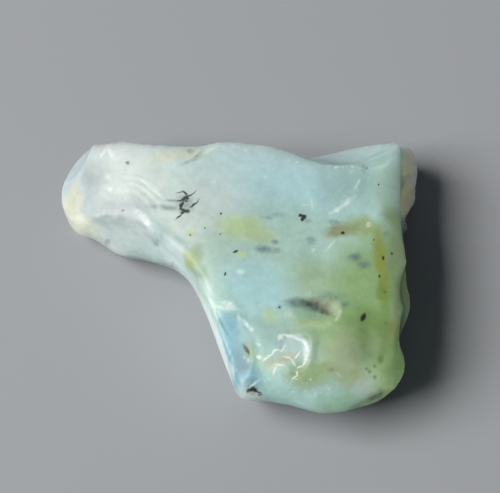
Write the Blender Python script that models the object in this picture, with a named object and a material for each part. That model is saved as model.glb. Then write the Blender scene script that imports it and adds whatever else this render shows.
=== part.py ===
"""A rough opal specimen: one chip of common opal with glassy fracture faces, lying on its flat underside.

The stone is made the way it broke. A blank is lofted through three outlines, lumps of rind are
fused to its right end, its top is taken down to a softly rolling crown, and then flakes are
struck off it. Each flake scar is the bite of an ellipsoid, so two scars meet in a sharp arris.
Sizes are in millimetres and are turned to metres where the meshes are made.
X runs along the stone's length, Y towards its back, Z up from the face it lies on.
"""

import math

import bmesh
import bpy
from mathutils import Matrix, Vector, noise

MM = 0.001

# Heights of the blank's outlines. The belly is the line round the stone where it is widest, and
# the shoulder is where the lean of the upper wall is measured.
FOOT_Z = -1.5
FOOT_BLOCK = (60.0, 60.0, 5.0)
BELLY_Z = 4.5
SHOULDER_Z = 11.0
RIM_Z = 17.0
BELLY_ROLL = 0.9  # how far the belly's line swings up and down
BELLY_SWINGS = 5
# Where the belly's line runs higher: the middle, the reach and the lift.
BELLY_LIFTS = {
    "front_edge": ((8.0, -17.0), 10.0, 2.6),
    "knob": ((18.8, -14.4), 4.4, 3.6),
}
SPAN_STEPS = 3  # points on the smooth outline for each station

# The outline at the belly, clockwise from the left tip and seen from above: x and y, then how
# far the wall stands inside the belly at the shoulder and at the foot.
STATIONS = (
    # back edge of the lobe and of the body
    (-22.3, 10.2, 0.8, 2.0),
    (-21.8, 12.6, 0.8, 2.0),
    (-20.2, 15.0, 0.8, 2.2),
    (-17.9, 16.4, 0.8, 2.4),
    (-14.8, 16.3, 0.8, 2.6),
    (-11.0, 15.6, 0.8, 2.6),
    (-5.6, 15.2, 0.8, 2.6),
    (-2.4, 15.8, 0.8, 2.4),
    (1.2, 15.7, 0.9, 2.4),
    (4.4, 15.2, 1.0, 2.6),
    (7.4, 14.8, 1.4, 2.8),
    (10.6, 15.6, 1.8, 2.6),
    (14.0, 16.6, 2.0, 2.4),
    (17.2, 17.2, 2.0, 2.2),
    (19.4, 16.8, 1.6, 2.0),
    # right end, with its low bulge and the knob
    (20.2, 14.6, 0.6, 1.6),
    (19.8, 8.0, 0.2, 2.4),
    (19.6, 3.0, 0.0, 2.4),
    (19.9, 0.4, 0.0, 2.0),
    (20.6, -2.0, 0.6, 1.6),
    (20.9, -3.9, 1.0, 1.4),
    (20.4, -6.0, 0.8, 1.6),
    (19.5, -7.9, 0.4, 2.0),
    (19.2, -9.0, 0.2, 2.0),
    (19.8, -10.9, 1.0, 2.0),
    (19.9, -13.0, 2.0, 2.2),
    (19.0, -15.0, 2.4, 2.6),
    # front edge
    (17.2, -16.8, 2.2, 3.0),
    (14.4, -17.6, 1.4, 3.2),
    (10.1, -18.2, 1.2, 3.6),
    (6.4, -17.3, 1.0, 3.6),
    (3.0, -16.6, 0.6, 3.4),
    (0.2, -16.1, 0.5, 3.0),
    # inner bend and near side of the lobe
    (-1.1, -13.4, 0.3, 3.0),
    (-2.2, -10.3, 0.3, 3.4),
    (-3.4, -6.9, 0.2, 3.6),
    (-4.6, -3.9, 0.1, 3.6),
    (-6.4, -0.9, 0.1, 3.0),
    (-8.8, 0.9, 0.4, 2.2),
    (-12.0, 2.2, 0.8, 1.6),
    (-15.2, 3.0, 0.8, 1.4),
    (-18.0, 5.1, 0.8, 1.6),
    (-20.5, 6.0, 0.8, 1.8),
    (-21.8, 8.2, 0.8, 1.8),
)

# Lumps of rind fused to the wall: centre and half axes.
RIND_LUMPS = {
    "upper_lump": ((20.1, 13.7, 5.0), (2.2, 2.8, 3.8)),
    "lower_lump": ((19.7, 9.1, 4.4), (1.9, 3.0, 3.4)),
    "foot_lump": ((20.7, 11.4, 2.4), (1.3, 2.3, 2.0)),
    "back_nub": ((20.0, 15.6, 3.4), (1.3, 1.4, 2.2)),
    "low_nub": ((20.6, 7.3, 2.9), (1.2, 1.6, 1.8)),
    "shoulder_nub": ((20.4, 11.6, 7.4), (1.1, 1.3, 1.3)),
}

RIND_KNOBBLE = 0.9  # how far the rind's knobbles stand out
RIND_KNOBBLE_SPAN = 1.5

# The crown: its height over the middle of the body, how it falls off past a line (a point on
# the line, the way down and the curve of the fall), and its swells and hollows (centre, half
# widths, turn in degrees, and rise).
CROWN_Z = 12.0
CROWN_CELL = 1.0
CROWN_HALF_WIDTH = 25.0
CROWN_SLAB_TOP = RIM_Z + 3.0
SLOPE_STEP = 0.5  # half the run over which the crown's slope is taken
FALLS = {
    "to_the_tip": ((-4.0, 9.5), (-1.0, 0.0), 0.014),
    "to_the_front": ((8.0, -6.5), (0.1, -1.0), 0.014),
    "over_the_front_edge": ((8.0, -13.2), (0.1, -1.0), 0.1),
    "over_the_knob": ((17.2, -12.0), (0.8, -0.6), 0.14),
    "to_the_right": ((15.0, 1.5), (1.0, 0.0), 0.02),
}
SWELLS = {
    "lobe_crest": ((-13.0, 7.5), (7.0, 4.0), -20.0, 0.5),
    "middle_hollow": ((4.0, 6.5), (8.0, 5.0), 0.0, -0.5),
    "back_corner_drop": ((18.6, 15.4), (2.6, 2.6), 0.0, -0.7),
    "near_corner_drop": ((0.0, -16.5), (5.0, 6.0), 0.0, -0.6),
    "knob": ((17.9, -11.2), (2.6, 3.6), 0.0, 0.75),
    "knob_groove": ((15.2, -12.0), (1.8, 3.6), 8.0, -0.55),
    "milky_swell": ((11.8, -10.0), (3.2, 3.6), 0.0, 0.4),
}

# Flake scars in the crown: the middle of the scar and its depth, the way out of the stone
# there, and the ellipsoid's half axes: level, up the slope and outwards.
CROWN_SCARS = {
    "right_strip": ((19.0, 9.0), 0.3, (0.3, 0.0, 1.0), (30.0, 44.0, 30.0)),
    "corner_flake": ((17.4, 13.0), 0.7, (-0.2, 0.4, 0.9), (6.4, 5.2, 4.6)),
    "blue_facet": ((0.5, -13.4), 0.5, (-0.34, -0.14, 0.94), (7.0, 18.0, 13.0)),
    "dark_dish": ((9.5, -6.7), 0.36, (-0.12, 0.04, 1.0), (7.2, 4.4, 4.2)),
}

# Flake scars in the wall: the point where the scar is deepest, the way out there, and the
# ellipsoid's half axes: level, up the wall and outwards.
WALL_SCARS = {
    "tip_back": ((-20.1, 13.0, 7.2), (-0.76, 0.4, 0.5), (14.0, 11.0, 11.0)),
    "tip_front": ((-20.8, 8.7, 6.3), (-0.8, -0.14, 0.6), (12.0, 10.0, 9.0)),
    "lobe_wall": ((-16.4, 4.8, 6.8), (-0.18, -0.9, 0.4), (12.0, 10.0, 11.0)),
    "elbow_wall": ((-11.0, 2.9, 7.0), (-0.42, -0.85, 0.3), (9.0, 7.0, 9.0)),
    "back_facet": ((12.6, 14.1, 8.2), (-0.04, 0.72, 0.69), (12.0, 12.0, 12.0)),
    "right_facet": ((19.9, -4.2, 7.0), (0.9, 0.0, 0.42), (7.0, 8.0, 7.0)),
    "back_flake_left": ((-14.0, 15.1, 6.0), (-0.06, 1.0, 0.2), (14.0, 9.0, 14.0)),
    "back_flake_middle": ((-4.4, 14.4, 3.6), (0.04, 1.0, -0.12), (12.0, 8.0, 13.0)),
    "back_flake_right": ((3.4, 14.5, 6.6), (0.12, 1.0, 0.2), (12.0, 9.0, 14.0)),
    "under_the_arris": ((19.1, 3.4, 5.4), (1.0, -0.05, -0.1), (10.0, 8.0, 9.0)),
    "front_bevel": ((6.0, -16.45, 9.2), (-0.07, -0.8, 0.6), (40.0, 28.0, 26.0)),
    "front_face_right": ((15.3, -16.5, 5.4), (0.42, -0.9, 0.24), (14.0, 9.0, 14.0)),
    # below the belly
    "under_lobe": ((-14.0, 3.8, 1.4), (-0.2, -0.7, -0.7), (13.0, 8.0, 10.0)),
    "under_bend": ((-2.6, -8.0, 1.7), (-0.9, -0.3, -0.5), (13.0, 8.0, 10.0)),
    "under_front": ((5.0, -14.9, 2.6), (-0.05, -0.8, -0.6), (14.0, 8.0, 11.0)),
    "under_front_right": ((13.4, -15.6, 2.8), (0.25, -0.8, -0.6), (11.0, 7.0, 10.0)),
    "under_knob": ((18.0, -11.4, 1.7), (0.85, -0.35, -0.6), (11.0, 7.0, 9.0)),
    "under_bulge": ((18.8, -1.2, 1.7), (0.9, 0.1, -0.5), (9.0, 6.0, 8.0)),
    "under_corner": ((13.6, 15.0, 1.8), (0.1, 0.85, -0.5), (12.0, 7.0, 9.0)),
    "under_back": ((-1.0, 13.5, 1.7), (0.0, 0.8, -0.6), (15.0, 8.0, 11.0)),
    "under_lobe_back": ((-12.6, 14.0, 1.9), (0.1, 0.8, -0.6), (12.0, 7.0, 10.0)),
    "under_tip": ((-19.8, 11.2, 1.6), (-0.85, 0.2, -0.6), (9.0, 6.0, 8.0)),
}
SCAR_FACET = 1.6  # length of a facet on a scar
SCAR_SEGMENTS = (24, 100)  # fewest and most facets round a scar
STEEPEST_LEVEL_SCAR = 0.8  # past this, a scar's level axis runs along X

# The glassy chip: a steep-sided pit with a flat floor, and the shallow ledge it broke in from.
# Middle, depth, size across and along, turn in degrees, and corner radius.
CHIP_PITS = {
    "chip_floor": ((6.4, -11.7), 0.5, (3.1, 3.8), -6.0, 0.9),
    "chip_ledge": ((4.2, -12.7), 0.25, (3.4, 1.5), 16.0, 0.5),
}
PIT_DIP = 6.0  # the floors dip to the right
PIT_HEIGHT = 6.0
PIT_FLARE = 1.9  # size of a pit cutter's top, 6 mm up, to its floor

SURFACE = (0.58, 0.76, 0.74, 1.0)
SURFACE_ROUGHNESS = 0.3
ARRIS_DEGREES = 28.0


def outline(inset_of):
    """The stations' outline, moved in by inset_of(station), as points on a smooth closed curve."""
    count = len(STATIONS)
    corners = []
    for index, station in enumerate(STATIONS):
        before = Vector(STATIONS[index - 1][:2])
        after = Vector(STATIONS[(index + 1) % count][:2])
        along = (after - before).normalized()
        inward = Vector((along.y, -along.x))
        corners.append(Vector(station[:2]) + inward * inset_of(station))
    points = []
    for index in range(count):
        p0, p1, p2, p3 = (corners[(index + step) % count] for step in (-1, 0, 1, 2))
        for step in range(SPAN_STEPS):
            t = step / SPAN_STEPS
            points.append(
                0.5
                * (
                    2 * p1
                    + (p2 - p0) * t
                    + (2 * p0 - 5 * p1 + 4 * p2 - p3) * t**2
                    + (3 * p1 - p0 - 3 * p2 + p3) * t**3
                )
            )
    return points


def made_object(name, mesh, collection):
    """A mesh in millimetres as an object in metres."""
    bmesh.ops.recalc_face_normals(mesh, faces=mesh.faces)
    bmesh.ops.scale(mesh, vec=(MM, MM, MM), verts=mesh.verts)
    data = bpy.data.meshes.new(name)
    mesh.to_mesh(data)
    mesh.free()
    made = bpy.data.objects.new(name, data)
    made.display_type = "WIRE"
    made.hide_render = True
    collection.objects.link(made)
    return made


def belly_rise(point, share):
    """How far the belly's line stands above BELLY_Z at a point, so far round the outline."""
    rise = BELLY_ROLL * math.sin(2 * math.pi * BELLY_SWINGS * share)
    for middle, reach, lift in BELLY_LIFTS.values():
        away = (point - Vector(middle)).length / reach
        near = math.exp(-(away**4))
        rise += (lift - rise) * near
    return rise


def make_blank(collection):
    """The unstruck stone: a loft from the foot's outline through the belly's to the rim's."""
    lean = (RIM_Z - BELLY_Z) / (SHOULDER_Z - BELLY_Z)
    mesh = bmesh.new()
    rings = []
    for height, waver, inset_of in (
        (FOOT_Z, 0.0, lambda s: s[3]),
        (BELLY_Z, 1.0, lambda s: 0.0),
        (RIM_Z, 0.0, lambda s: s[2] * lean),
    ):
        points = outline(inset_of)
        rings.append(
            [
                mesh.verts.new((*point, height + waver * belly_rise(point, index / len(points))))
                for index, point in enumerate(points)
            ]
        )
    count = len(rings[0])
    for low, high in zip(rings, rings[1:]):
        for index in range(count):
            after = (index + 1) % count
            mesh.faces.new((low[index], high[index], high[after], low[after]))
    mesh.faces.new(rings[0])
    mesh.faces.new(reversed(rings[-1]))
    return made_object("blank", mesh, collection)


def make_lump(name, centre, half_axes, collection):
    """A knobbly lump of rind."""
    mesh = bmesh.new()
    bmesh.ops.create_icosphere(mesh, subdivisions=3, radius=1.0)
    bmesh.ops.scale(mesh, vec=half_axes, verts=mesh.verts)
    bmesh.ops.translate(mesh, vec=centre, verts=mesh.verts)
    middle = Vector(centre)
    for vert in mesh.verts:
        away = (vert.co - middle).normalized()
        vert.co += away * RIND_KNOBBLE * noise.noise(vert.co / RIND_KNOBBLE_SPAN)
    made_object(name, mesh, collection)


def crown_height(x, y):
    """Height of the rolling crown over a point."""
    height = CROWN_Z
    for start, way, curve in FALLS.values():
        past = (Vector((x, y)) - Vector(start)).dot(Vector(way).normalized())
        height -= curve * max(past, 0.0) ** 2
    for centre, half_widths, turn, rise in SWELLS.values():
        offset = Matrix.Rotation(math.radians(-turn), 2) @ (Vector((x, y)) - Vector(centre))
        away = (offset.x / half_widths[0]) ** 2 + (offset.y / half_widths[1]) ** 2
        height += rise * math.exp(-away)
    return height


def crown_cutter(collection):
    """A thick slab whose underside is the crown."""
    cells = round(2 * CROWN_HALF_WIDTH / CROWN_CELL)
    mesh = bmesh.new()
    bmesh.ops.create_grid(mesh, x_segments=cells, y_segments=cells, size=CROWN_HALF_WIDTH)
    for vert in mesh.verts:
        vert.co.z = crown_height(vert.co.x, vert.co.y)
    raised = bmesh.ops.extrude_face_region(mesh, geom=mesh.faces[:])["geom"]
    for vert in raised:
        if isinstance(vert, bmesh.types.BMVert):
            vert.co.z = CROWN_SLAB_TOP
    made_object("crown", mesh, collection)


def foot_cutter(collection):
    """A block whose top is the flat face that the stone lies on."""
    mesh = bmesh.new()
    bmesh.ops.create_cube(mesh, size=1.0)
    bmesh.ops.scale(mesh, vec=FOOT_BLOCK, verts=mesh.verts)
    bmesh.ops.translate(mesh, vec=(0.0, 0.0, -0.5 * FOOT_BLOCK[2]), verts=mesh.verts)
    made_object("foot", mesh, collection)


def crown_point(x, y, depth):
    """A point so far below the crown."""
    return (x, y, crown_height(x, y) - depth)


def crown_lean(x, y):
    """The rotation from upright to square with the crown over a point."""
    ahead = crown_height(x + SLOPE_STEP, y) - crown_height(x - SLOPE_STEP, y)
    beside = crown_height(x, y + SLOPE_STEP) - crown_height(x, y - SLOPE_STEP)
    normal = Vector((-ahead, -beside, 2 * SLOPE_STEP))
    return Vector((0.0, 0.0, 1.0)).rotation_difference(normal).to_matrix().to_4x4()


def pit_cutter(name, middle, depth, size, turn, corner, collection):
    """A block with rounded upright edges whose underside is the floor of a pit in the crown."""
    mesh = bmesh.new()
    bmesh.ops.create_cube(mesh, size=1.0)
    bmesh.ops.translate(mesh, vec=(0.0, 0.0, 0.5), verts=mesh.verts)
    bmesh.ops.scale(mesh, vec=(*size, PIT_HEIGHT), verts=mesh.verts)
    top = 0.5 * PIT_HEIGHT
    upright = [edge for edge in mesh.edges if (edge.verts[0].co.z > top) != (edge.verts[1].co.z > top)]
    bmesh.ops.bevel(mesh, geom=upright, offset=corner, segments=4, profile=0.5, affect="EDGES")
    for vert in mesh.verts:
        if vert.co.z > top:
            vert.co.xy *= PIT_FLARE
    turned = Matrix.Rotation(math.radians(turn), 4, "Z")
    tilted = Matrix.Rotation(math.radians(PIT_DIP), 4, "Y")
    place = Matrix.Translation(crown_point(*middle, depth)) @ crown_lean(*middle) @ tilted @ turned
    bmesh.ops.transform(mesh, matrix=place, verts=mesh.verts)
    made_object(name, mesh, collection)


def scar_cutter(name, at, out, half_axes, collection):
    """An ellipsoid that touches the point at from outside, its last half axis along out."""
    level, up, outward = half_axes
    fewest, most = SCAR_SEGMENTS
    segments = int(max(fewest, min(most, 2 * math.pi * max(level, up) / SCAR_FACET)))
    mesh = bmesh.new()
    bmesh.ops.create_uvsphere(mesh, u_segments=segments, v_segments=segments // 2, radius=1.0)
    out = Vector(out).normalized()
    lies_level = abs(out.z) > STEEPEST_LEVEL_SCAR
    side = Vector((0.0, 1.0, 0.0)) if lies_level else Vector((0.0, 0.0, -1.0))
    side = side.cross(out).normalized()
    axes = Matrix((out, side, out.cross(side))).transposed().to_4x4()
    size = Matrix.Diagonal((outward, level, up, 1.0))
    place = Matrix.Translation(Vector(at) + out * outward) @ axes @ size
    bmesh.ops.transform(mesh, matrix=place, verts=mesh.verts)
    made_object(name, mesh, collection)


def add_boolean(target, name, operation, collection):
    """Joins all of a collection to the target, or cuts all of it away."""
    modifier = target.modifiers.new(name, "BOOLEAN")
    modifier.operation = operation
    modifier.operand_type = "COLLECTION"
    modifier.collection = collection
    modifier.solver = "EXACT"


def opal_material():
    """Common opal: pale blue-green, milky and glassy."""
    material = bpy.data.materials.new("common_opal")
    material.use_nodes = True
    shader = material.node_tree.nodes["Principled BSDF"]
    shader.inputs["Base Color"].default_value = SURFACE
    shader.inputs["Roughness"].default_value = SURFACE_ROUGHNESS
    shader.inputs["Metallic"].default_value = 0.0
    return material


def finished_stone(blank, collection):
    """The struck blank as a mesh of its own, centred over the origin and standing on Z = 0."""
    bpy.context.view_layer.update()
    graph = bpy.context.evaluated_depsgraph_get()
    data = bpy.data.meshes.new_from_object(blank.evaluated_get(graph))
    data.name = "opal"
    spans = [sorted(vert.co[axis] for vert in data.vertices) for axis in range(3)]
    lowest = Vector([span[0] for span in spans])
    highest = Vector([span[-1] for span in spans])
    middle = 0.5 * (lowest + highest)
    data.transform(Matrix.Translation((-middle.x, -middle.y, -lowest.z)))
    data.materials.clear()
    data.materials.append(opal_material())
    data.shade_smooth()
    data.set_sharp_from_angle(angle=math.radians(ARRIS_DEGREES))
    collection.objects.link(bpy.data.objects.new("opal", data))


def main():
    for old in list(bpy.data.objects):
        bpy.data.objects.remove(old, do_unlink=True)
    collections = {}
    for name in ("rough_opal", "guides", "rind", "flakes"):
        collections[name] = bpy.data.collections.new(name)
        bpy.context.scene.collection.children.link(collections[name])
    blank = make_blank(collections["guides"])
    for name, lump in RIND_LUMPS.items():
        make_lump(name, *lump, collections["rind"])
    crown_cutter(collections["flakes"])
    foot_cutter(collections["flakes"])
    for name, (middle, depth, out, half_axes) in CROWN_SCARS.items():
        at = crown_point(*middle, depth)
        scar_cutter(name, at, out, half_axes, collections["flakes"])
    for name, scar in WALL_SCARS.items():
        scar_cutter(name, *scar, collections["flakes"])
    for name, pit in CHIP_PITS.items():
        pit_cutter(name, *pit, collections["flakes"])
    add_boolean(blank, "fused_rind", "UNION", collections["rind"])
    add_boolean(blank, "struck_flakes", "DIFFERENCE", collections["flakes"])
    finished_stone(blank, collections["rough_opal"])


main()
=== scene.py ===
import math

import bmesh
import bpy
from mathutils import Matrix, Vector, kdtree, noise
from mathutils.bvhtree import BVHTree


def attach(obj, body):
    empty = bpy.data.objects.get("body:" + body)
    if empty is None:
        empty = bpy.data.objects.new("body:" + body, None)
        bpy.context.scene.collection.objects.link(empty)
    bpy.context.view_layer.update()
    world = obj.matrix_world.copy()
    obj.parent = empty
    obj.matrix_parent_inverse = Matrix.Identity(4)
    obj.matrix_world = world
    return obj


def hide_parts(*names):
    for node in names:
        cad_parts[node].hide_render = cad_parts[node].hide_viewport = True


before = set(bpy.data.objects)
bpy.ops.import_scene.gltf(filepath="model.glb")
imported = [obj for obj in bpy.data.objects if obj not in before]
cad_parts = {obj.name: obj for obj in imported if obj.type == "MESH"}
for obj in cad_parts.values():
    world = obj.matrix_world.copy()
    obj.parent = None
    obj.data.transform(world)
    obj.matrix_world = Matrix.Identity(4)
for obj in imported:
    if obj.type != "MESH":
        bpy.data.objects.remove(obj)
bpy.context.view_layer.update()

mm = 0.001


# sRGB hex to the linear colour that a shader socket takes
def linear(hexColour):
    parts = [int(hexColour[i:i + 2], 16) / 255 for i in (1, 3, 5)]
    return tuple(p / 12.92 if p <= 0.04045 else ((p + 0.055) / 1.055) ** 2.4 for p in parts) + (1.0,)


# one node, with its settings (a property or an input's value) and its incoming links
def addNode(tree, kind, settings=None, links=None):
    node = tree.nodes.new(kind)
    for name, value in (settings or {}).items():
        if isinstance(name, str) and hasattr(node, name):
            setattr(node, name, value)
        else:
            node.inputs[name].default_value = value
    for name, socket in (links or {}).items():
        tree.links.new(socket, node.inputs[name])
    return node


def newMaterial(name):
    material = bpy.data.materials.new(name)
    material.use_nodes = True
    material.node_tree.nodes.clear()
    return material, material.node_tree


print("camera and studio")
view = {
    "elevation": 70.0,     # degrees above the table, looking along +Y
    "distance": 260.0,     # mm
    "frameWidth": 62.5,    # mm seen across at that distance
    "aimRight": 1.31,      # mm from the stone's foot to the picture's middle, across
    "aimUp": 5.65,         # and up the picture
    "columns": 500,        # pixels across the picture
    "rows": 493,           # and down it
    "sensorWidth": 36.0,   # mm
}


# the camera's place, the point that it looks at, and the picture's up
def sightLines():
    tilt = math.radians(view["elevation"])
    back = Vector((0, -math.cos(tilt), math.sin(tilt)))
    up = Vector((0, math.sin(tilt), math.cos(tilt)))
    aim = (Vector((1, 0, 0)) * view["aimRight"] + up * view["aimUp"]) * mm
    return aim + back * view["distance"] * mm, aim, up


def makeCamera():
    eye, aim, _ = sightLines()
    data = bpy.data.cameras.new("studioCamera")
    data.sensor_width = view["sensorWidth"]
    data.lens = view["sensorWidth"] * view["distance"] / view["frameWidth"]
    data.clip_start = 0.005
    data.clip_end = 10
    camera = bpy.data.objects.new("studioCamera", data)
    camera.location = eye
    camera.rotation_euler = (aim - eye).to_track_quat("-Z", "Y").to_euler()
    bpy.context.scene.collection.objects.link(camera)
    bpy.context.scene.camera = camera


studio = {
    "floor": "#96999e",
    "floorSide": 1.6,            # m
    "floorRoughness": 0.75,
    "floorShine": 0.25,
    "softbox": (0.75, 0.62),     # m, the window-like light at the stone's left
    "softboxAzimuth": 184.0,     # degrees from +X, so nearly straight from -X
    "softboxElevation": 49.0,
    "softboxDistance": 1.1,      # m
    "softboxPower": 18.2,        # W
    "softboxColour": "#fffdf8",
    "fillColour": "#e2ebf5",
    "fillStrength": 0.10,
}


def makeFloor():
    bm = bmesh.new()
    bmesh.ops.create_grid(bm, x_segments=1, y_segments=1, size=studio["floorSide"] / 2)
    data = bpy.data.meshes.new("studioFloor")
    bm.to_mesh(data)
    bm.free()
    floor = bpy.data.objects.new("studioFloor", data)
    bpy.context.scene.collection.objects.link(floor)
    # matt painted board
    material, tree = newMaterial("paintedBoard")
    shader = addNode(tree, "ShaderNodeBsdfPrincipled", {
        "Base Color": linear(studio["floor"]), "Roughness": studio["floorRoughness"],
        "Specular IOR Level": studio["floorShine"]})
    addNode(tree, "ShaderNodeOutputMaterial", links={"Surface": shader.outputs[0]})
    data.materials.append(material)


def makeLights():
    scene = bpy.context.scene
    scene.view_settings.view_transform = "Standard"
    azimuth = math.radians(studio["softboxAzimuth"])
    elevation = math.radians(studio["softboxElevation"])
    level = math.cos(elevation)
    towards = Vector((level * math.cos(azimuth), level * math.sin(azimuth), math.sin(elevation)))
    data = bpy.data.lights.new("softbox", "AREA")
    data.shape = "RECTANGLE"
    data.size, data.size_y = studio["softbox"]
    data.energy = studio["softboxPower"]
    data.color = linear(studio["softboxColour"])[:3]
    softbox = bpy.data.objects.new("softbox", data)
    softbox.location = towards * studio["softboxDistance"]
    softbox.rotation_euler = (-towards).to_track_quat("-Z", "Y").to_euler()
    scene.collection.objects.link(softbox)

    world = bpy.data.worlds.new("studioFill")
    world.use_nodes = True
    world.node_tree.nodes.clear()
    fill = addNode(world.node_tree, "ShaderNodeBackground", {
        "Color": linear(studio["fillColour"]), "Strength": studio["fillStrength"]})
    addNode(world.node_tree, "ShaderNodeOutputWorld", links={"Surface": fill.outputs[0]})
    scene.world = world


makeCamera()
makeFloor()
makeLights()

print("stone: shape")
stoneShape = {
    "weld": 0.0005,            # mm between corners that are one
    "voxel": 0.25,             # mm between points of the fine surface
    "arrisAngle": 24,          # degrees between two faces that meet in an arris
    "arrisStep": 0.1,          # mm between the points that stand for an arris
    "arrisWidth": 0.35,        # mm to either side of it that are nibbled and pale
    "smoothing": ((0.0, 1), (0.25, 6), (0.7, 26)),   # mm from the nearest arris, rounds
    "spotsAbove": 6.0,         # mm, the height above which the worn and the fine spots count
    # where the arrises are worn away: middle and reach in mm
    "wornSpots": (((18.6, -11.4), 3.6), ((8.6, -11.0), 1.7), ((-18.9, 8.2), 2.2), ((-14.5, 5.5), 2.6),
                  ((-10.8, 3.4), 2.2), ((-7.6, 0.8), 1.9), ((1.4, -9.4), 1.8)),
    # spots whose points lie half as far apart: middle and reach in mm
    "fineSpots": (((6.0, -11.6), 3.6), ((9.5, -6.2), 3.4), ((-0.9, -6.2), 2.2), ((12.2, 6.9), 2.2),
                  ((8.0, -15.2), 3.2)),
    # the rubbed ridge above the inner wall: middle, reach in mm, rounds of smoothing
    "rubbedRidge": (((-12.6, 5.6), 2.2, 40), ((-10.2, 3.9), 2.4, 40), ((-7.8, 1.7), 2.4, 40),
                    ((-5.6, -0.7), 2.2, 40), ((-4.4, -3.2), 1.8, 40)),
    "rubbedAbove": 5.0,        # mm
    # relief: mm high, mm long
    "skin": {
        "swell": (0.10, 6.0),      # slow waves of the broken surface
        "wave": (0.035, 1.8),
        "grain": (0.012, 0.5),
    },
    "nibble": (0.16, 0.8),         # what is taken off the arrises
    "nibbleLeast": 0.1,            # the share of it that is taken off all along
    "rindSkin": {
        "lumps": (0.16, 1.1),      # the rough weathered skin at the far right end
        "grit": (0.06, 0.45),
    },
    "rindPlace": {"at": (21.6, 10.3, 6.8), "size": (1.7, 6.5, 7.5)},   # mm
    "rindEdge": 1.15,              # half sizes from its middle to where the rind ends
    "rindSteep": 2.2,              # how fast it thickens inside that
    # shell-like ribs that run out from where a blow fell: mm, and degrees for turn and spread
    "ribs": {
        "lobe": {"from": (-14.6, 5.2), "near": 3.4, "far": 6.8, "spacing": 0.85, "height": 0.07,
                 "turn": 48, "spread": 42},
        "back": {"from": (2.0, 19.5), "near": 2.5, "far": 9.0, "spacing": 1.2, "height": 0.05,
                 "turn": -90, "spread": 50},
    },
    "ribWander": (0.5, 2.5),       # share of a spacing that the ribs wander by, over this many mm
    "crownAbove": 7.0,             # mm, where the crests and bruises begin
    "crownLean": 0.3,              # the least upward part of a face's normal that takes them
    # crests (or, below nought, grooves) on the crown: points in mm, height, half width
    "crests": {
        "chipJag": (((3.1, -12.3), (4.2, -11.5), (4.3, -11.1), (4.95, -10.7)), 0.08, 0.14),
        "chipLedge": (((4.3, -12.8), (5.3, -12.5), (6.1, -12.4), (6.7, -12.9)), 0.07, 0.13),
        "chipTongue": (((6.6, -12.2), (7.3, -11.2)), 0.08, 0.12),
        "chipCrack": (((6.75, -13.5), (6.7, -14.1), (6.2, -14.6)), -0.06, 0.12),
        "scarRim": (((11.6, -5.4), (12.1, -6.5), (11.8, -7.4), (10.9, -8.0)), 0.07, 0.4),
        "hackle": (((11.2, 6.1), (12.2, 6.8), (13.4, 7.9)), 0.12, 0.28),
        "hackleSmall": (((14.0, 9.2), (14.6, 10.4)), 0.08, 0.2),
        "bandCrack": (((-2.6, -6.6), (-1.9, -8.0), (-1.2, -9.3)), -0.08, 0.16),
        "stroke": (((0.6, -10.4), (1.05, -11.4)), -0.07, 0.16),
        "lobeFold": (((-12.6, 6.3), (-11.2, 5.2), (-9.6, 4.4)), 0.06, 0.5),
    },
    "crestReach": 3.0,             # half widths from a crest's line to where it has died out
    # shallow bruises and flakes: middle and half sizes in mm, turn in degrees, depth
    "bruises": {
        "nearEdge": ((-1.24, -5.91), (1.5, 0.6), -25, 0.12),
        "below": ((0.92, -8.33), (0.9, 0.35), -52, 0.07),
        "lower": ((1.96, -10.03), (0.9, 0.3), -61, 0.06),
        "lobe": ((-11.76, 5.75), (1.2, 0.5), -46, 0.08),
        "top": ((-3.63, 14.21), (0.9, 0.4), 26, 0.08),
        "knobDimple": ((14.05, -14.1), (1.4, 1.0), 0, 0.10),
        "centreDot": ((0.17, -1.58), (0.4, 0.3), 0, 0.05),
    },
    "bruiseCrumb": (0.6, 0.8, 0.35),   # the even share of a bruise's depth, the crumbly share, mm
}


def cadCopy(nodeName):
    bm = bmesh.new()
    bm.from_mesh(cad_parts[nodeName].data)
    bmesh.ops.remove_doubles(bm, verts=bm.verts[:], dist=stoneShape["weld"] * mm)
    return bm


def inPlan(point, at, reach):
    return math.hypot(point.x / mm - at[0], point.y / mm - at[1]) < reach


# points along the sharp edges, to measure from
def arrisPoints(bm):
    points = []
    sharp = math.radians(stoneShape["arrisAngle"])
    for edge in bm.edges:
        a, b = (v.co for v in edge.verts)
        high = a.z > stoneShape["spotsAbove"] * mm
        worn = high and any(inPlan(a, at, reach) for at, reach in stoneShape["wornSpots"])
        if not worn and len(edge.link_faces) == 2 and edge.calc_face_angle_signed() > sharp:
            count = max(1, int((b - a).length / (stoneShape["arrisStep"] * mm)))
            points += [a.lerp(b, i / count) for i in range(count + 1)]
    tree = kdtree.KDTree(len(points))
    for index, point in enumerate(points):
        tree.insert(point, index)
    tree.balance()
    return tree


def voxelRemeshed(bm):
    data = bpy.data.meshes.new("opalRough")
    bm.to_mesh(data)
    bm.free()
    rough = bpy.data.objects.new("opalRough", data)
    bpy.context.scene.collection.objects.link(rough)
    remesh = rough.modifiers.new("fine", "REMESH")
    remesh.mode = "VOXEL"
    remesh.voxel_size = stoneShape["voxel"] * mm
    graph = bpy.context.evaluated_depsgraph_get()
    fine = bpy.data.meshes.new_from_object(rough.evaluated_get(graph))
    bpy.data.objects.remove(rough)
    out = bmesh.new()
    out.from_mesh(fine)
    bpy.data.meshes.remove(fine)
    return out


def refineSpots(bm):
    for at, reach in stoneShape["fineSpots"]:
        edges = [e for e in bm.edges if e.verts[0].co.z > stoneShape["spotsAbove"] * mm
                 and all(inPlan(v.co, at, reach) for v in e.verts)]
        bmesh.ops.subdivide_edges(bm, edges=edges, cuts=1, use_grid_fill=True)


def smoothed(bm, verts, rounds):
    for _ in range(rounds):
        bmesh.ops.smooth_vert(bm, verts=verts, factor=0.5, use_axis_x=True, use_axis_y=True, use_axis_z=True)


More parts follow.
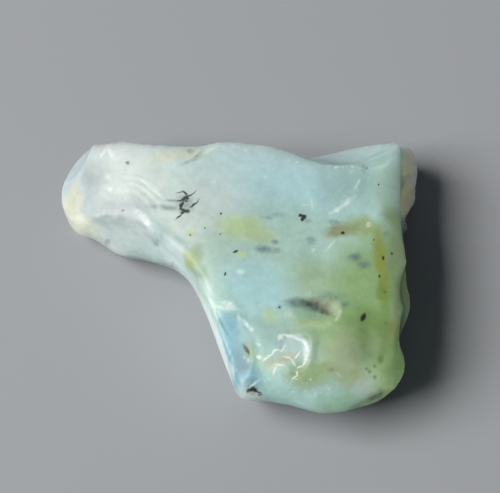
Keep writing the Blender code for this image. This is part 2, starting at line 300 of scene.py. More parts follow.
# 1 in the middle of an ellipse, 0 at its edge and outside it
def within(x, y, at, size, turn):
    c, s = math.cos(math.radians(turn)), math.sin(math.radians(turn))
    dx, dy = x - at[0], y - at[1]
    reach = math.hypot((dx * c + dy * s) / size[0], (dy * c - dx * s) / size[1])
    return max(0.0, 1 - reach * reach)


# how far a place lies from a line through some points
def lineReach(x, y, points):
    best = math.inf
    for (ax, ay), (bx, by) in zip(points, points[1:]):
        along = ((x - ax) * (bx - ax) + (y - ay) * (by - ay)) / ((bx - ax) ** 2 + (by - ay) ** 2)
        along = min(1.0, max(0.0, along))
        best = min(best, math.hypot(x - ax - along * (bx - ax), y - ay - along * (by - ay)))
    return best


# waves of several lengths, added up
def skinHeight(p, layers):
    return sum(high * noise.noise(p / long) for high, long in layers.values())


# 1 on the rind, falling to 0 past its edge
def rindShare(p):
    place = stoneShape["rindPlace"]
    reach = math.hypot(*((p[i] - place["at"][i]) / place["size"][i] for i in range(3)))
    return min(1.0, max(0.0, stoneShape["rindSteep"] * (stoneShape["rindEdge"] - reach)))


# ribs like ripples, dying out at both ends and to both sides
def ribHeight(p):
    height = 0.0
    wander, wanderLong = stoneShape["ribWander"]
    for rib in stoneShape["ribs"].values():
        dx, dy = p.x - rib["from"][0], p.y - rib["from"][1]
        reach = math.hypot(dx, dy)
        off = abs((math.degrees(math.atan2(dy, dx)) - rib["turn"] + 180) % 360 - 180)
        if rib["near"] < reach < rib["far"] and off < rib["spread"]:
            ends = math.sin(math.pi * (reach - rib["near"]) / (rib["far"] - rib["near"]))
            fan = math.cos(math.pi / 2 * off / rib["spread"])
            phase = reach / rib["spacing"] + wander * noise.noise(p / wanderLong)
            height += rib["height"] * ends * fan * math.sin(2 * math.pi * phase)
    return height


# crests and bruises on the crown
def crownHeight(p):
    height = 0.0
    for points, high, halfWidth in stoneShape["crests"].values():
        reach = lineReach(p.x, p.y, points) / halfWidth
        if reach < stoneShape["crestReach"]:
            height += high * math.exp(-reach * reach)
    even, crumbly, long = stoneShape["bruiseCrumb"]
    for at, size, turn, depth in stoneShape["bruises"].values():
        dent = within(p.x, p.y, at, size, turn)
        if dent > 0:
            height -= depth * dent * (even + crumbly * abs(noise.noise(p / long)))
    return height


# how far a point of the surface moves out, in mm, and how near an arris it is
def reliefAt(v, away):
    p = v.co / mm
    near = max(0.0, 1 - away / stoneShape["arrisWidth"])
    bite, biteLong = stoneShape["nibble"]
    offset = skinHeight(p, stoneShape["skin"])
    offset -= bite * near * max(0.0, noise.noise(p / biteLong) + stoneShape["nibbleLeast"])
    offset += rindShare(p) * skinHeight(p, stoneShape["rindSkin"])
    offset += ribHeight(p)
    if p.z > stoneShape["crownAbove"] and v.normal.z > stoneShape["crownLean"]:
        offset += crownHeight(p)
    return offset, near


def makeStone():
    bm = cadCopy("opal")
    arrises = arrisPoints(bm)
    bm = voxelRemeshed(bm)
    refineSpots(bm)
    arrisLayer = bm.verts.layers.float.new("arris")
    away = {v: arrises.find(v.co)[2] / mm for v in bm.verts}
    for distance, rounds in stoneShape["smoothing"]:
        smoothed(bm, [v for v in bm.verts if away[v] >= distance], rounds)
    for at, reach, rounds in stoneShape["rubbedRidge"]:
        smoothed(bm, [v for v in bm.verts if v.co.z > stoneShape["rubbedAbove"] * mm
                      and inPlan(v.co, at, reach)], rounds)
    bm.normal_update()
    moves = []
    for v in bm.verts:
        offset, v[arrisLayer] = reliefAt(v, away[v])
        moves.append(v.normal * offset * mm)
    for v, move in zip(bm.verts, moves):
        v.co += move
        v.co.z = max(v.co.z, 0.0)
    for face in bm.faces:
        face.smooth = True
    data = bpy.data.meshes.new("opalSpecimen")
    bm.to_mesh(data)
    print("  triangles:", sum(len(f.verts) - 2 for f in bm.faces))
    bm.free()
    stone = bpy.data.objects.new("opalSpecimen", data)
    bpy.context.scene.collection.objects.link(stone)
    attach(stone, "root")
    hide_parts("opal")
    return stone


stone = makeStone()

print("stone: common opal, broken by hand")
opal = {
    "ground": "#a8cbc5",          # the milky colour under the stains
    "groundPale": "#b9d6cf",      # and in its clouds
    "ior": 1.45,                  # common opal runs from 1.37 to 1.52
    "subsurface": 1.0,
    "scatter": 10.0,              # mm that light wanders inside
    "scatterRadius": (1.0, 1.0, 0.92),
    "roughness": 0.42,            # satin where it broke
    "rindRoughness": 0.7,
    "rindSpread": 1.25,           # how far the dull skin runs past the rind's half sizes
    "rindSoft": 0.36,             # the depth inside it at which the skin is fully dull
    "roughnessSwing": 0.12,       # between the veils
    "edge": "#eaf3f0",
    "edgeWhite": 0.16,            # how white the arrises get: partly crushed stone, partly a painted highlight
    # noises: waves in a mm, detail, roughness, distortion
    "clouds": (0.3, 5.0, 0.55, 0.0),     # milk, 3 mm and more across
    "veils": (0.55, 4.0, 0.6, 0.6),      # paler and deeper milk, 1 to 3 mm across
    "mottling": (1.4, 6.0, 0.7, 0.0),    # 0.3 to 1 mm across
    "patches": (1.6, 5.0, 0.6, 0.0),     # what breaks the patchy marks up
    "wearAndHighlight": (0.5, 3.0, 0.5, 0.0),
    "grain": (2.4, 5.0, 0.6, 0.0),
    "crumbs": (1 / 0.42, 2.0, 0.5, 0.0),   # white grains in the flecks, 0.42 mm apart
    "stainWander": (0.3, 3.0, 0.5, 0.0),
    "markWander": (2.4, 3.0, 0.5, 0.0),
    "stainShift": 1.2,            # mm that the stains' edges wander
    "markShift": 0.14,            # and the marks'
    "veilLift": (0.93, 1.07),     # the colour is scaled between these
    "mottlingLift": (0.95, 1.05),
    # the span of each noise over which what it drives goes from none to all
    "liftSpan": (0.3, 0.7),
    "patchSpan": (0.38, 0.6),
    "crumbSpan": (0.6, 0.7),
    "wearAndHighlightSpan": (0.4, 0.6),
    "patchLeast": 0.4,            # the share of a patchy mark that stays everywhere
    "grainHeight": 0.04,          # mm
    "grainStrength": 0.5,
    "crownPixel": 0.12,           # mm that a pixel covers on the crown, nearer than the foot
    "markDepth": 1.6,             # mm that a mark reaches up and down
    "strokeEnd": 0.6,             # half widths that a stroke's round end runs past its last point
    # the colours of the opal and of its rind and iron stains, and of the painted light and shade
    "palette": {
        # milkWhite serves the white band, and also paints light at the inner wall's bend; milkPale paints
        # light on the wall under the ridge
        "milkWhite": "#def2f6",
        "milkPale": "#d0e2e4",
        "milkGrey": "#c6d0ce",
        "skyPale": "#b4cdd2",
        "skyBlue": "#a6c8cd",
        "glassPale": "#c2d5d6",
        "glassBlue": "#92bacb",
        "facetBlue": "#76a4b0",
        "deepBlue": "#4a7688",
        "seaGlass": "#a1bdb3",
        "seaGrey": "#92afae",
        "mintPale": "#abd2cb",
        "mint": "#a0caae",
        "wedgeGrey": "#a7b7be",
        # ridgeGrey and ridgeDark: painted shade along the ridge and on the lobe's end
        "ridgeGrey": "#8f9ba1",
        "ridgeDark": "#798f95",
        "cream": "#c3c8b7",
        "creamPale": "#dde2d0",
        "sagePale": "#9dac8d",
        "sage": "#8fa892",
        "sageDark": "#738b74",
        "greenPale": "#a5b892",
        "leafPale": "#94b47c",
        "leaf": "#8aa874",
        "olive": "#8c9f62",
        "moss": "#798f63",
        "mossGrey": "#657947",
        "mossDark": "#5e7d38",
        "mossDeep": "#4a6419",
        # litGreen: painted glow on the knob and the right facet, which lie in shade
        "litGreen": "#cdf2aa",
        "yellow": "#b9ce9e",
        "lime": "#859549",
        "limeDark": "#718a29",
        "ochre": "#827c40",
        "ochrePale": "#94885e",
        # the weathered rind's beige, made far paler than it is: partly painted light on its shaded side
        "rind": "#f7f7d8",
    },
    # broad colour, stains and painted light and shade, from the deepest to the one on top: middle,
    # half axes in mm, turn in degrees, colour, strength, softness of the edge
    "stainsAndPaintedLight": {
        "topMiddle": ((1.0, 10.5, 9.0), (9.0, 5.5, 9.0), 0, "skyPale", 0.9, 0.6),
        "topBlue": ((8.0, 8.6, 9.0), (6.5, 5.5, 9.0), 0, "skyBlue", 0.9, 0.6),
        "topRight": ((13.4, 10.5, 9.0), (3.6, 4.2, 8.0), 0, "seaGrey", 0.8, 0.6),
        "farWall": ((12.5, 15.5, 7.0), (7.0, 2.2, 4.5), 0, "skyPale", 0.8, 0.4),
        "paleLeft": ((-5.0, 3.5, 9.0), (6.0, 8.0, 9.0), 0, "milkGrey", 0.85, 0.6),
        "milkyLobe": ((-15.5, 8.5, 8.0), (8.6, 9.0, 12.0), 0, "milkGrey", 1.0, 0.45),
        # painted shade on the left end of the lobe, which faces the light
        "lobeEndShade": ((-19.6, 11.0, 8.0), (3.0, 6.0, 6.0), 0, "ridgeGrey", 0.75, 0.8),
        "creamTop": ((-7.6, 13.6, 11.6), (3.6, 0.9, 2.0), 0, "cream", 0.75, 0.5),
        "creamTip": ((-20.6, 8.2, 6.0), (1.7, 2.9, 4.5), 8, "cream", 0.95, 0.4),
        "creamLow": ((-19.0, 5.9, 6.0), (1.9, 1.3, 3.0), -25, "creamPale", 0.8, 0.5),
        "greyWedge": ((-20.4, 13.6, 6.0), (3.6, 1.3, 4.5), 56, "wedgeGrey", 0.9, 0.4),
        "greenWall": ((-11.2, 2.6, 5.0), (3.4, 1.5, 3.0), -12, "seaGlass", 0.8, 0.4),
        "centre": ((5.5, 2.5, 11.0), (7.0, 4.5, 6.0), 0, "seaGlass", 0.8, 0.6),
        "aqua": ((1.6, -3.4, 11.0), (4.6, 3.2, 6.0), -20, "skyBlue", 0.85, 0.6),
        "leftCentre": ((-3.0, 0.8, 11.9), (2.2, 3.2, 2.0), -20, "seaGlass", 0.6, 0.8),
        "paleEdge": ((-5.4, -1.0, 11.0), (8.2, 1.5, 4.0), -50, "seaGlass", 0.6, 0.7),
        # the next three are painted shade along the crest over the inner wall, the two after them painted
        # light on the wall under it
        "lobeRidgeShade": ((-15.0, 6.8, 10.6), (4.4, 1.7, 2.5), -4, "ridgeGrey", 0.7, 0.8),
        "bendRidgeShade": ((-9.8, 3.5, 11.7), (3.0, 1.1, 2.0), -44, "ridgeDark", 0.7, 0.8),
        "ridgeLineShade": ((-6.0, -0.5, 11.9), (3.4, 0.9, 1.5), -52, "ridgeGrey", 0.6, 0.8),
        "wallPaintedLight": ((-13.4, 4.3, 7.0), (4.6, 1.6, 3.0), -14, "milkPale", 0.5, 0.8),
        "wallBendLight": ((-8.2, 1.4, 7.7), (3.6, 1.0, 3.4), -43, "milkWhite", 0.6, 0.8),
        "greenVeil": ((9.6, -2.6, 11.0), (3.4, 2.6, 5.0), 0, "olive", 0.5, 0.7),
        "greenRight": ((15.8, -3.6, 9.0), (4.6, 6.6, 9.0), 0, "leaf", 0.95, 0.5),
        "greenLow": ((12.0, -8.4, 9.0), (6.0, 3.8, 9.0), 0, "leaf", 0.9, 0.5),
        "knobGreen": ((17.8, -11.8, 8.0), (3.4, 5.4, 8.0), 0, "leafPale", 0.95, 0.4),
        "rightStrip": ((19.0, 2.0, 9.0), (1.9, 8.0, 8.0), 3, "moss", 0.85, 0.5),
        "stripTop": ((18.4, 10.2, 10.0), (2.2, 3.6, 6.0), 0, "seaGlass", 0.85, 0.5),
        "creamPatch": ((12.5, -11.8, 10.5), (2.6, 3.2, 4.0), 0, "sagePale", 0.85, 0.5),
        "milkPatch": ((14.0, -14.2, 10.2), (2.2, 1.5, 2.5), 20, "greenPale", 0.8, 0.6),
        "blueFacet": ((-0.3, -10.8, 9.0), (2.5, 5.6, 5.0), 12, "facetBlue", 0.95, 0.4),
        "facetLow": ((0.5, -13.6, 10.4), (1.5, 2.6, 1.5), 15, "deepBlue", 0.85, 0.8),
        "facetDeep": ((-1.3, -8.6, 10.8), (0.8, 2.0, 1.5), 12, "glassBlue", 0.6, 0.9),
        "whiteBand": ((-3.1, -8.6, 5.0), (1.3, 7.0, 5.0), 18, "milkWhite", 0.9, 0.3),
        "bottomPale": ((6.0, -16.4, 6.0), (5.6, 1.6, 7.0), 0, "mintPale", 0.85, 0.4),
        "bottomGreen": ((13.0, -17.0, 6.0), (4.0, 1.6, 7.0), 6, "mint", 0.85, 0.4),
        "knobTop": ((16.3, -10.3, 11.6), (2.0, 1.9, 1.7), 0, "mossDeep", 0.7, 0.9),
        # the next two are painted glow on the knob's shaded side and foot, light as if it came through the
        # stone
        "knobSideGlow": ((20.2, -13.2, 5.0), (2.2, 4.0, 6.0), 0, "litGreen", 0.9, 0.6),
        "knobLowGlow": ((17.6, -15.6, 7.0), (3.2, 1.8, 4.0), 0, "litGreen", 0.8, 0.7),
        "rimGreen": ((19.2, -5.6, 9.5), (0.9, 2.6, 3.0), 0, "mossGrey", 0.7, 0.8),
        "milkTail": ((15.0, -15.2, 9.2), (1.7, 1.3, 2.0), 20, "glassPale", 0.6, 0.8),
        "cornerPale": ((0.4, -15.8, 7.5), (1.9, 1.1, 3.5), 0, "glassPale", 0.85, 0.6),
        "topCorner": ((18.3, 14.0, 11.0), (1.7, 1.7, 1.6), 0, "seaGrey", 0.7, 0.8),
        # painted glow on the right facet, which lies in shade
        "rightFacetGlow": ((20.3, -2.5, 5.5), (1.2, 5.0, 4.0), 0, "litGreen", 0.5, 0.7),
        # the rind's own beige, made much paler: partly painted light on its shaded side
        "rind": (*stoneShape["rindPlace"].values(), 0, "rind", 1.0, 0.25),
        "yellowBig": ((0.2, 4.3, 11.8), (2.3, 1.2, 2.0), -5, "yellow", 0.8, 0.85),
        "yellowRight": ((2.5, 3.5, 11.8), (1.8, 0.9, 2.0), -25, "greenPale", 0.8, 0.85),
        "yellowSmall": ((-5.6, -0.1, 12.0), (1.0, 1.3, 1.5), -20, "lime", 0.85, 0.9),
        "yellowTail": ((-4.5, -1.4, 12.0), (0.8, 1.2, 1.5), 30, "sageDark", 0.6, 0.6),
        "yellowDot": ((0.5, 0.7, 12.0), (0.7, 0.5, 1.5), 0, "yellow", 0.7, 0.5),
        "yellowFleck": ((-5.9, 3.3, 12.0), (0.5, 0.45, 1.5), 0, "yellow", 0.6, 0.6),
        "ochreTop": ((15.0, 4.2, 11.9), (1.9, 1.3, 2.0), -35, "olive", 0.75, 0.6),
        "ochreHalo": ((12.2, 3.7, 11.9), (1.7, 0.9, 2.0), 10, "ochre", 0.7, 0.6),
        "ochreStreak": ((17.0, 0.4, 11.9), (0.75, 3.2, 2.0), 8, "lime", 0.9, 0.5),
        "ochreLow": ((17.4, -4.4, 11.9), (0.7, 2.2, 2.0), 0, "limeDark", 0.7, 0.7),
        "ochreScar": ((8.3, -7.95, 12.0), (1.3, 0.6, 1.5), -5, "greenPale", 0.75, 0.9),
        "ochreKnob": ((18.3, -8.4, 11.6), (0.8, 1.3, 2.0), 0, "ochrePale", 0.5, 0.6),
        "greenChip": ((1.5, -11.1, 11.2), (0.8, 1.5, 1.5), 15, "moss", 0.75, 0.9),
        "greenPatch": ((8.6, -13.8, 10.8), (2.8, 1.3, 2.0), 8, "olive", 0.75, 0.6),
        "greenBlob": ((16.0, -7.9, 12.0), (2.6, 1.6, 2.0), -15, "mossDark", 0.6, 0.7),
        "chipSide": ((3.6, -9.0, 11.8), (2.6, 1.9, 1.5), -15, "seaGrey", 0.6, 0.8),
        "greenHaze": ((5.2, -8.4, 11.9), (2.2, 1.3, 1.5), 0, "seaGlass", 0.5, 0.9),
        "yellowDust": ((3.4, -7.1, 11.9), (0.9, 0.8, 1.5), 0, "yellow", 0.6, 0.9),
        "chipShoulder": ((8.55, -11.1, 11.6), (0.6, 2.2, 1.5), 0, "sageDark", 0.7, 0.7),
        "chipBrow": ((7.1, -9.15, 11.7), (1.6, 0.5, 1.5), -12, "sage", 0.6, 0.8),
        "chipGlass": ((6.3, -10.9, 11.2), (1.7, 1.9, 1.4), 0, "glassPale", 0.9, 0.25),
        "chipLedge": ((5.2, -12.15, 11.1), (2.1, 0.75, 1.5), 8, "cream", 0.8, 0.45),
        "blueHalo": ((1.6, -14.7, 10.2), (1.6, 1.0, 1.8), 0, "glassBlue", 0.7, 0.6),
    },
    # small marks on and just under the surface: colour, strength, softness of the edge, then strokes
    # (from, to, width) and spots (middle, half length, half height), in pixels of the camera's view
    "marks": {
        "smoke": {   # clouds of fine dark dust inside the stone
            "colour": "#5f757b", "strength": 0.62, "softness": 0.9, "patchy": True,
            "strokes": (
                (150, 206.5, 182, 209, 5), (166, 200, 181, 201.5, 2.6), (258, 248, 271, 249.5, 6.4),
                (259, 248.5, 266, 249, 4.4), (184, 163.5, 198, 158, 3.4), (193, 159, 203, 151.5, 3),
                (153, 240, 161, 247, 1.9), (216.5, 314, 228.5, 336, 2.8),
            ),
            "spots": (
                (184.5, 203, 7, 6.5), (276, 250.5, 5.5, 2.6), (274.5, 242, 3.2, 2.4), (275, 242, 1.8, 1.4),
                (278, 215, 6, 2.4), (268, 217.5, 6, 1.8), (311, 240.5, 4.4, 3.2), (308, 221, 3, 1.4),
                (333, 222, 5, 2.4), (354, 257.5, 6, 4.6), (356, 257, 3.6, 3), (363.5, 264.5, 5.8, 3.8),
                (364, 265, 3.4, 2), (251, 381, 5, 4), (190, 151, 4, 2.4), (363.5, 168, 2, 4.5),
                (386, 234, 2.2, 2.2), (298, 303.5, 11, 4.4), (330, 296, 12, 4), (318, 308, 17, 7.5),
                (252, 386, 7, 4), (345, 304, 4, 3.5),
            )},
        "haze": {   # thin grey dust round the clouds
            "colour": "#5d7278", "strength": 0.5, "softness": 0.95, "patchy": False,
            "strokes": ((166, 264.5, 178, 272, 3),),
            "spots": (
                (296, 303, 8, 4), (263, 249.5, 6.4, 3.2), (275, 242, 2.6, 2), (356, 257.5, 4.6, 3.4),
                (364, 265, 4.4, 2.6), (172, 267.5, 3, 2), (107.5, 241.5, 3, 1.4), (345.5, 304.5, 2, 1.6),
                (279.3, 307, 2.4, 2),
            )},
        "sootCore": {   # the densest dust in the inclusion
            "colour": "#414a45", "strength": 0.5, "softness": 0.95, "patchy": False,
            "strokes": ((317, 309, 328, 313, 4.2),),
            "spots": ((313, 305.5, 9, 4.4),)},
        "soot": {   # the dark inclusion laid open in the scar
            "colour": "#39413a", "strength": 0.85, "softness": 0.85, "patchy": True,
            "strokes": ((304, 302, 321, 309, 8), (312, 303, 327, 313.5, 6), (319, 309, 327, 314, 4),),
            "spots": ((314, 303, 6, 3.6),)},
        "moss": {   # green specks under the surface
            "colour": "#4f6344", "strength": 0.6, "softness": 0.9, "patchy": False,
            "strokes": ((367, 399.3, 378, 397, 1.8),),
            "spots": (
                (380.5, 359.5, 2.6, 3.2), (374.5, 366, 1.4, 1.4), (375, 377, 1.5, 1.6),
                (366.5, 369, 1.3, 1.3), (369.5, 371.5, 1.8, 1.6), (385.8, 322.5, 1.2, 1.6),
                (379.5, 394, 3.4, 2.2),
            )},
        "dendrite": {   # manganese oxide that grew like a fern
            "colour": "#262b22", "strength": 0.9, "softness": 0.45, "patchy": False,
            "strokes": (
                (176.8, 193.2, 184.5, 191.8, 1.1), (183, 191.2, 188, 196.2, 2.2),
                (186.5, 197, 191.5, 195.2, 1.7), (190, 196.2, 196.8, 190.8, 1),
                (177.5, 201.2, 185.5, 199.2, 1.7), (183.2, 202, 180.2, 209, 2.9),
                (180.5, 208.5, 187.5, 212.5, 3.2), (184.5, 212.5, 175.8, 219, 1.5),
                (199.2, 199.2, 195, 204.5, 1), (197, 202.5, 190.5, 207, 2.1),
            ),
            "spots": (
                (186, 198, 3.2, 2.2), (183.5, 199.5, 2.2, 2.2), (187.5, 211, 2.5, 1.8),
                (182.5, 212.5, 2.4, 1.6), (181, 205.5, 1.9, 2), (186.5, 201.5, 1.2, 1),
            )},
        "rust": {   # brown haze beside the inclusion
            "colour": "#8b8160", "strength": 0.6, "softness": 0.95, "patchy": True,
            "strokes": ((326, 311, 336, 316, 5),),
            "spots": (
                (329, 303.5, 9, 4.6), (318, 300, 7, 2.6), (291.8, 371.5, 2.6, 3), (333, 369.5, 4, 1.8),
            )},
        "orange": {   # where the iron stain is strongest
            "colour": "#a29a48", "strength": 0.36, "softness": 0.95, "patchy": True,
            "strokes": (
                (381.5, 247, 384.5, 262, 3.4), (383.5, 258, 384, 276, 5), (383, 272, 385, 290, 3.6),
                (366, 217, 371, 231, 4), (370, 228, 379, 245, 3),
            ),
            "spots": ((355, 376, 3, 4), (304, 321.5, 4, 2.6),)},
        "brownSpecks": {   # specks of iron oxide
            "colour": "#6f5a38", "strength": 0.75, "softness": 0.6, "patchy": False,
            "strokes": (),
            "spots": (
                (127.5, 163, 1.9, 1.6), (123, 210.5, 1.4, 1.2), (190, 235, 1.3, 1.1), (205, 228, 0.9, 0.8),
                (220.5, 234, 1.1, 1), (385, 292, 1.1, 1.4), (366.5, 168, 1, 1.4),
            )},
        "darkSpecks": {   # specks of manganese oxide
            "colour": "#1c1f19", "strength": 0.95, "softness": 0.4, "patchy": False,
            "strokes": (
                (364.5, 314.5, 362, 320, 4.8), (234, 252.3, 237.5, 250.3, 2.6),
                (225.8, 273, 224.5, 275.5, 1.9), (244, 346, 248.5, 353, 3.4), (247, 391, 253, 389, 3.2),
                (256, 391.8, 261.5, 394.6, 2.2),
            ),
            "spots": (
                (300.5, 215.5, 2.2, 1.7), (304, 217, 2.6, 2.4), (302, 219.5, 1.6, 1.9), (343, 233, 2, 1.7),
                (383.2, 258, 1.4, 1.8), (221, 213.5, 1.2, 0.9), (379.5, 276, 1.3, 1.2),
                (378.5, 184.5, 1, 0.9), (392, 253.5, 0.9, 1.2), (253.5, 390.8, 3.8, 2.4),
                (279.3, 307, 1.1, 1.1), (374, 240, 0.9, 0.8),
            )},
        "bruisesAndGlints": {   # white where a knock crazed the surface, and painted glints where small chips catch the light
            "colour": "#eaf2ef", "strength": 0.62, "softness": 0.85, "patchy": True,
            "strokes": (
                (218, 306.5, 236.5, 310, 5.4), (223, 303, 234, 307.5, 4.2), (243.5, 321, 248.5, 326.5, 3.4),
                (333.5, 212.5, 343, 206, 3.4), (343, 206, 352.5, 198, 4.4), (355.5, 187.5, 359.5, 180.5, 2),
                (136, 210.5, 147, 221.5, 6), (141, 215, 151, 229, 5), (203.5, 152.5, 214.5, 147.5, 4.4),
                (100.5, 156.5, 108, 147, 4), (108, 149, 112.5, 157, 5), (231, 363, 234.5, 380, 2.4),
                (246, 394.5, 262, 397, 1.8), (249, 388, 258, 381, 1.6),
            ),
            "spots": (
                (228, 303.5, 5, 2.4), (251.5, 329, 1.8, 2), (258.5, 344.5, 2.2, 1.6), (240.5, 272, 3.4, 2.2),
                (368.5, 224.5, 2.2, 2.4),
            )},
        "glints": {   # painted glints: small chips that catch the light, as bright spots
            "colour": "#edf5f3", "strength": 0.42, "softness": 0.9, "patchy": True,
            "strokes": (
                (303.5, 204.5, 309.5, 205, 1.3), (311, 200, 312.5, 208, 1.6), (327, 165.5, 332, 165, 1.7),
                (326, 250, 334.5, 241, 2), (146, 184, 161, 197, 2), (139, 178, 152, 189, 1.6),
            ),
            "spots": (
                (107.5, 176.5, 2.6, 3), (110, 189, 2.4, 2.4), (214, 182.5, 2, 1.7), (265, 177, 1.6, 1.4),
                (297, 162.5, 1.8, 1.2), (245.5, 150, 1.9, 1.3), (313, 250, 1.8, 1.9), (315, 394, 0.9, 2.2),
                (248, 360.5, 1.2, 1.8), (244.5, 358, 1.1, 1.2),
            )},
        "scarRim": {   # crazed rims of the dish-like scars
            "colour": "#dde6da", "strength": 0.42, "softness": 0.95, "patchy": True,
            "strokes": (
                (337.5, 302.5, 340, 309.5, 4.6), (340, 308.5, 338.5, 317, 4.4), (338.5, 316, 336, 319.5, 3),
                (336, 372, 341, 377, 1.6),
            ),
            "spots": ((334.5, 309, 4, 5.6), (289.5, 314.5, 4, 3.4),)},
        "chipRim": {   # fresh edges of the chip: white crushed stone, and painted glints along them
            "colour": "#eef4f1", "strength": 0.7, "softness": 0.7, "patchy": False,
            "strokes": (
                (278.5, 340, 280, 336.5, 1.8), (283, 334.6, 295, 337, 2.6), (294, 337.3, 303, 341, 2.6),
                (301.5, 340, 307, 346, 3), (306.8, 345, 307.6, 354, 3.2), (307.5, 353, 305.5, 362, 3.4),
                (306, 361, 303, 366, 3.2), (303.5, 365.5, 297, 367.8, 2.2), (263, 361, 268, 357.5, 1.6),
                (267.5, 357.5, 273, 354, 1.9), (272.5, 354.5, 274, 350.5, 1.9), (273.5, 351, 278, 349.5, 1.6),
                (281.5, 352, 284.5, 346, 2), (277.5, 350, 281.5, 352, 1.5), (283, 356.5, 291, 358, 1.8),
                (290.5, 358, 295, 365.5, 2), (275, 364.5, 285, 366, 1.8), (295.5, 358, 299.5, 352.5, 2),
                (276.3, 366.5, 273.5, 373.5, 2), (297, 371.5, 297, 376, 1.5), (296.8, 375.5, 292, 379, 1.5),
            ),
            "spots": ((280.5, 336.8, 2.6, 2.2), (259, 357, 2.4, 1.9),)},
    },
    # crumbly white grains that sparkle with painted glints: middle, half length and half width in mm, turn in
    # degrees
    "flecks": {
        "colour": "#e8f0ec", "strength": 0.5, "softness": 0.5,
        "places": (((7.6, -15.0, 10), 4.4, 1.3, -8), ((4.6, -14.6, 10), 2.2, 0.9, -20),
                   ((11.9, 6.9, 12), 2.6, 0.9, 40), ((10.6, 12.2, 12), 5.0, 1.1, 0)),
    },
}


# the place on the stone that lies behind a pixel of the camera's view, in mm
def behindPixel(surface, column, row):
    eye, aim, up = sightLines()
    pixel = view["frameWidth"] / view["columns"] * mm
    across = Vector((1, 0, 0)) * (column - view["columns"] / 2) * pixel
    target = aim + across - up * (row - view["rows"] / 2) * pixel
    place = surface.ray_cast(eye, (target - eye).normalized())[0]
    if place is None:   # just past the outline
        place = surface.find_nearest(target)[0]
    return place / mm


# a group's strokes and spots as places: middle, half length and half width in mm, turn in degrees
def placesOf(surface, group):
    pixel = opal["crownPixel"]
    lean = math.sin(math.radians(view["elevation"]))
    places = []
    for column, row, endColumn, endRow, width in group["strokes"]:
        start, end = behindPixel(surface, column, row), behindPixel(surface, endColumn, endRow)
        run = (end - start).xy
        halfWidth = width / 2 * pixel
        halfLength = run.length / 2 + opal["strokeEnd"] * halfWidth
        turn = math.degrees(math.atan2(run.y, run.x))
        places.append(((start + end) / 2, halfLength, halfWidth, turn))
    for column, row, halfLength, halfHeight in group["spots"]:
        places.append((behindPixel(surface, column, row), halfLength * pixel, halfHeight * pixel / lean, 0))
    return places


# one of the noises named above, over the stone
def noiseOver(tree, coords, name):
    scale, detail, roughness, distortion = opal[name]
    return addNode(tree, "ShaderNodeTexNoise", {
        "Scale": scale, "Detail": detail, "Roughness": roughness, "Distortion": distortion}, {
        "Vector": coords})


# a value that goes from one number to another while its input crosses a span
def ranged(tree, value, span, toMin=0.0, toMax=1.0):
    return addNode(tree, "ShaderNodeMapRange", {
        "From Min": span[0], "From Max": span[1], "To Min": toMin, "To Max": toMax}, {
        "Value": value}).outputs[0]


def product(tree, first, second):
    return addNode(tree, "ShaderNodeMath", {"operation": "MULTIPLY"}, {0: first, 1: second}).outputs[0]


def mixed(tree, factor, below, above):
    return addNode(tree, "ShaderNodeMix", {"data_type": "RGBA", 7: above}, {0: factor, 6: below}).outputs[2]


# the colour made paler and deeper by a noise
def lifted(tree, colour, cloudiness, lift):
    share = ranged(tree, cloudiness, opal["liftSpan"], *lift)
    return addNode(tree, "ShaderNodeVectorMath", {"operation": "SCALE"}, {
        0: colour, "Scale": share}).outputs[0]


# coordinates that wander, so that the edges measured with them do
def moved(tree, coords, name, by):
    wander = noiseOver(tree, coords, name).outputs["Color"]
    back = addNode(tree, "ShaderNodeVectorMath", {"operation": "SUBTRACT", 1: (by,) * 3}, {
        0: coords}).outputs[0]
    return addNode(tree, "ShaderNodeVectorMath", {"operation": "MULTIPLY_ADD", 1: (by * 2,) * 3}, {
        0: wander, 2: back}).outputs[0]


# a soft ellipsoid: 1 in its middle, falling to 0 at its edge
def blob(tree, coords, at, size, turn=0):
    node = addNode(tree, "ShaderNodeTexGradient", {"gradient_type": "SPHERICAL"}, {"Vector": coords})
    place = node.texture_mapping
    place.vector_type = "TEXTURE"
    place.translation = at
    place.rotation = (0, 0, math.radians(turn))
    place.scale = size
    return node.outputs["Fac"]


# how deep a point lies inside any of several marks
def deepest(tree, coords, places, softness):
    depth = None
    for at, length, width, turn in places:
        size = [side * (1 + softness) for side in (length, width, opal["markDepth"])]
        one = blob(tree, coords, at, size, turn)
        if depth is not None:
            one = addNode(tree, "ShaderNodeMath", {"operation": "MAXIMUM"}, {0: depth, 1: one}).outputs[0]
        depth = one
    return depth


# the depth turned to a mask whose edge is soft over that share of the half size
def masked(tree, depth, strength, softness):
    return addNode(tree, "ShaderNodeMapRange", {
        "interpolation_type": "SMOOTHSTEP", "From Max": 2 * softness / (1 + softness),
        "To Max": strength}, {"Value": depth}).outputs[0]


# milk, then the stains and the painted light and shade from the deepest up, then veils and mottling through
# them all
def stainedAndPaintedLightColour(tree, inMm, veils):
    clouds = noiseOver(tree, inMm, "clouds").outputs[0]
    colour = addNode(tree, "ShaderNodeMix", {
        "data_type": "RGBA", 6: linear(opal["ground"]), 7: linear(opal["groundPale"])}, {0: clouds}).outputs[2]
    wandering = moved(tree, inMm, "stainWander", opal["stainShift"])
    for at, size, turn, tint, strength, softness in opal["stainsAndPaintedLight"].values():
        depth = blob(tree, wandering, at, [side * (1 + softness) for side in size], turn)
        colour = mixed(tree, masked(tree, depth, strength, softness), colour, linear(opal["palette"][tint]))
    colour = lifted(tree, colour, veils, opal["veilLift"])
    return lifted(tree, colour, noiseOver(tree, inMm, "mottling").outputs[0], opal["mottlingLift"])


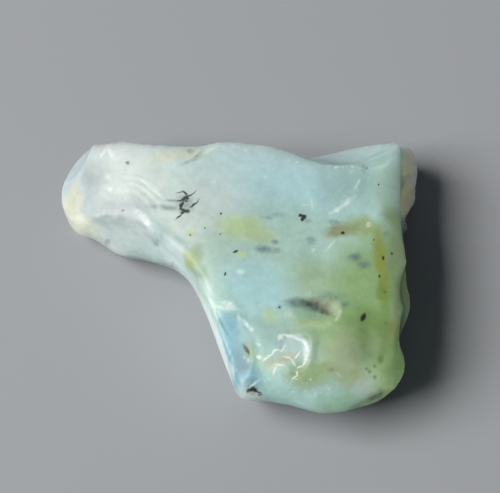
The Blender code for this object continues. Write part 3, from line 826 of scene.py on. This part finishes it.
# the marks and the flecks, laid over the stained colour
def markedColour(tree, inMm, colour):
    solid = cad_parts["opal"].data
    faces = [face.vertices[:] for face in solid.polygons]
    surface = BVHTree.FromPolygons([v.co for v in solid.vertices], faces)
    wandering = moved(tree, inMm, "markWander", opal["markShift"])
    for group in opal["marks"].values():
        depth = deepest(tree, wandering, placesOf(surface, group), group["softness"])
        mask = masked(tree, depth, group["strength"], group["softness"])
        if group["patchy"]:
            patches = noiseOver(tree, inMm, "patches").outputs[0]
            mask = product(tree, mask, ranged(tree, patches, opal["patchSpan"], opal["patchLeast"]))
        colour = mixed(tree, mask, colour, linear(group["colour"]))

    flecks = opal["flecks"]
    depth = deepest(tree, wandering, flecks["places"], flecks["softness"])
    crumbs = ranged(tree, noiseOver(tree, inMm, "crumbs").outputs[0], opal["crumbSpan"])
    crumbled = product(tree, crumbs, masked(tree, depth, flecks["strength"], flecks["softness"]))
    return mixed(tree, crumbled, colour, linear(flecks["colour"]))


# arrises, whiter in patches: partly crushed stone, partly a painted highlight along the edges
def edgedColour(tree, inMm, colour):
    arris = addNode(tree, "ShaderNodeAttribute", {"attribute_name": "arris"}).outputs["Fac"]
    wearAndHighlight = noiseOver(tree, inMm, "wearAndHighlight").outputs[0]
    wearAndHighlight = ranged(tree, wearAndHighlight, opal["wearAndHighlightSpan"], 0.0, opal["edgeWhite"])
    return mixed(tree, product(tree, arris, wearAndHighlight), colour, linear(opal["edge"]))


# satin where it broke, duller on the rind
def opalRoughness(tree, inMm, veils):
    place = stoneShape["rindPlace"]
    wandering = moved(tree, inMm, "stainWander", opal["stainShift"])
    rind = blob(tree, wandering, place["at"], [side * opal["rindSpread"] for side in place["size"]])
    level = ranged(tree, rind, (0.0, opal["rindSoft"]), opal["roughness"], opal["rindRoughness"])
    swing = opal["roughnessSwing"]
    low = addNode(tree, "ShaderNodeMath", {"operation": "SUBTRACT", 1: swing / 2}, {0: level}).outputs[0]
    return addNode(tree, "ShaderNodeMath", {"operation": "MULTIPLY_ADD", 1: swing}, {
        0: veils, 2: low}).outputs[0]


# common opal, which is hydrous silica: milky, with dust, iron and manganese oxides grown through it
def opalMaterial():
    material, tree = newMaterial("commonOpal")
    coords = addNode(tree, "ShaderNodeTexCoord").outputs["Object"]
    inMm = addNode(tree, "ShaderNodeVectorMath", {"operation": "SCALE", "Scale": 1 / mm}, {
        0: coords}).outputs[0]
    veils = noiseOver(tree, inMm, "veils").outputs[0]
    colour = stainedAndPaintedLightColour(tree, inMm, veils)
    colour = markedColour(tree, inMm, colour)
    colour = edgedColour(tree, inMm, colour)
    grain = noiseOver(tree, inMm, "grain").outputs[0]
    bump = addNode(tree, "ShaderNodeBump", {
        "Strength": opal["grainStrength"], "Distance": opal["grainHeight"] * mm}, {
        "Height": grain}).outputs[0]
    shader = addNode(tree, "ShaderNodeBsdfPrincipled", {
        "IOR": opal["ior"], "Subsurface Weight": opal["subsurface"],
        "Subsurface Scale": opal["scatter"] * mm, "Subsurface Radius": opal["scatterRadius"]}, {
        "Base Color": colour, "Roughness": opalRoughness(tree, inMm, veils), "Normal": bump})
    addNode(tree, "ShaderNodeOutputMaterial", links={"Surface": shader.outputs[0]})
    print("  nodes:", len(tree.nodes))
    return material


stone.data.materials.append(opalMaterial())
